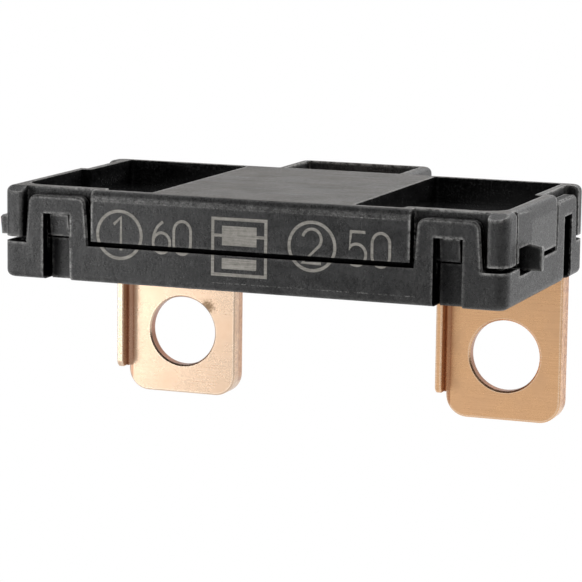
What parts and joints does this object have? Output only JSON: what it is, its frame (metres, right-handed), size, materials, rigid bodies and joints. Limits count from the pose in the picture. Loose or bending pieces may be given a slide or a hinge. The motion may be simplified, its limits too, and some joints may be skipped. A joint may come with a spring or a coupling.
{
  "type": "fuse",
  "caption": "Flat bolt-down twin fuse: snap-fit moulded housing on two copper tabs with bolt holes, and a rear bay for a blade terminal.",
  "frame": {"origin": "centre of the left bolt hole, in the plane where the two leaves of its tab meet, 1 mm in front of the tab's rear face", "axes": "+X along the legend face from the left tab to the right tab, +Y from the legend face to the rear bay, +Z from the tabs up to the housing"},
  "size_m": [0.0487, 0.0319, 0.0219],
  "materials": {
    "cover_plastic": "fine satin",
    "tray_plastic": "fine satin",
    "copper": "rolled sheet, fine lines",
    "tin": "dull"
  },
  "bodies": {
    "root": {"cover": "cover_plastic", "tray": "tray_plastic", "conductor": "copper", "tin_pellet_1": "tin", "tin_pellet_2": "tin"}
  },
  "joints": []
}
